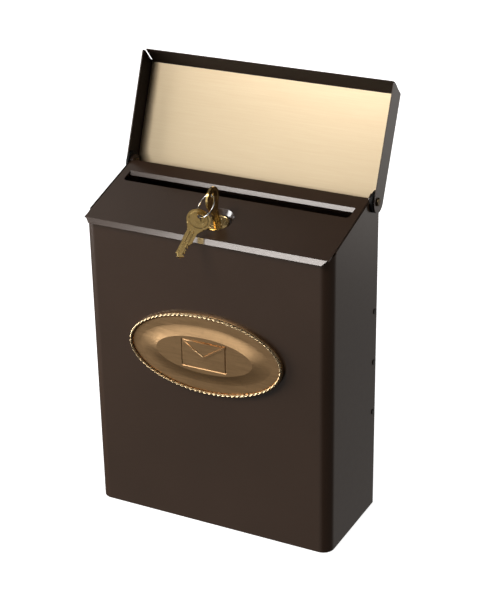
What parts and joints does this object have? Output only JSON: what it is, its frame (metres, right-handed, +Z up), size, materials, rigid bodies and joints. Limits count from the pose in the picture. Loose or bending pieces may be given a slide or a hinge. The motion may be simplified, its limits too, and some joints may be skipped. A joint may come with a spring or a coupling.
{
  "type": "wall mounted mailbox",
  "caption": "Locking wall mounted mailbox: folded sheet case, sloping locked door with mail slot, hinged weather lid, oval plaque, cam lock, key and spare key on a ring.",
  "frame": {"origin": "centre of the bounding box of the open mailbox, on the plane that its case stands on", "axes": "+X to the viewer's right, +Y back to the wall, +Z up"},
  "size_m": [0.2548, 0.1719, 0.4139],
  "materials": {
    "bronze_paint": "satin dark bronze powder coat",
    "gold_sheet": "brushed pale gold sheet",
    "antique_brass": "antique brass casting, satin",
    "rope_brass": "antique brass, rubbed bright on the ridges",
    "lock_brass": "machined brass",
    "key_brass": "polished brass",
    "dark_steel": "dark coated steel",
    "zinc_steel": "zinc plated steel",
    "ring_steel": "bright spring wire",
    "black_nylon": "black nylon"
  },
  "bodies": {
    "case": {"body_shell": "bronze_paint", "back_panel": "bronze_paint", "bottom_panel": "bronze_paint", "strike_bracket": "zinc_steel", "rain_gutter": "bronze_paint", "side_rivet_l1": "dark_steel", "side_rivet_l2": "dark_steel", "side_rivet_l3": "dark_steel", "side_rivet_r1": "dark_steel", "side_rivet_r2": "dark_steel", "side_rivet_r3": "dark_steel", "pivot_rivet_left": "dark_steel", "pivot_rivet_right": "dark_steel", "pivot_spacer_left": "black_nylon", "pivot_spacer_right": "black_nylon", "plaque_plate": "antique_brass", "plaque_rope": "rope_brass", "plaque_stud_left": "antique_brass", "plaque_stud_right": "antique_brass", "push_nut_left": "zinc_steel", "push_nut_right": "zinc_steel"},
    "lid": {"weather_lid": "bronze_paint", "lid_liner": "gold_sheet"},
    "door": {"locking_door": "bronze_paint", "lock_housing": "lock_brass", "lock_nut": "zinc_steel"},
    "plug": {"lock_plug": "lock_brass", "lock_cam": "zinc_steel", "cam_screw": "zinc_steel"},
    "key": {"lock_key": "key_brass"},
    "ring": {"key_ring": "ring_steel"},
    "spare": {"spare_key": "key_brass"}
  },
  "joints": [
    {"name": "lid_hinge", "type": "hinge", "parent": "case", "child": "lid", "pos_m": [0, 0.03713, 0.31479], "axis": [-1, 0, 0], "range_deg": [-105, 0]},
    {"name": "door_hinge", "type": "hinge", "parent": "case", "child": "door", "pos_m": [0, 0.03713, 0.31479], "axis": [-1, 0, 0], "range_deg": [0, 87]},
    {"name": "lock_turn", "type": "hinge", "parent": "door", "child": "plug", "pos_m": [0, -0.02742, 0.30056], "axis": [0, -0.2857, 0.9583], "range_deg": [0, 90]},
    {"name": "key_slide", "type": "slide", "parent": "plug", "child": "key", "axis": [0, -0.2857, 0.9583], "range_m": [0, 0.018]},
    {"name": "ring_swing", "type": "hinge", "parent": "key", "child": "ring", "pos_m": [0, -0.03493, 0.32576], "axis": [-1, 0, 0], "range_deg": [0, 30]},
    {"name": "spare_key_swing", "type": "hinge", "parent": "ring", "child": "spare", "pos_m": [-0.0061, -0.04583, 0.30842], "axis": [-0.5319, 0.399, -0.7469], "range_deg": [0, 25]}
  ]
}
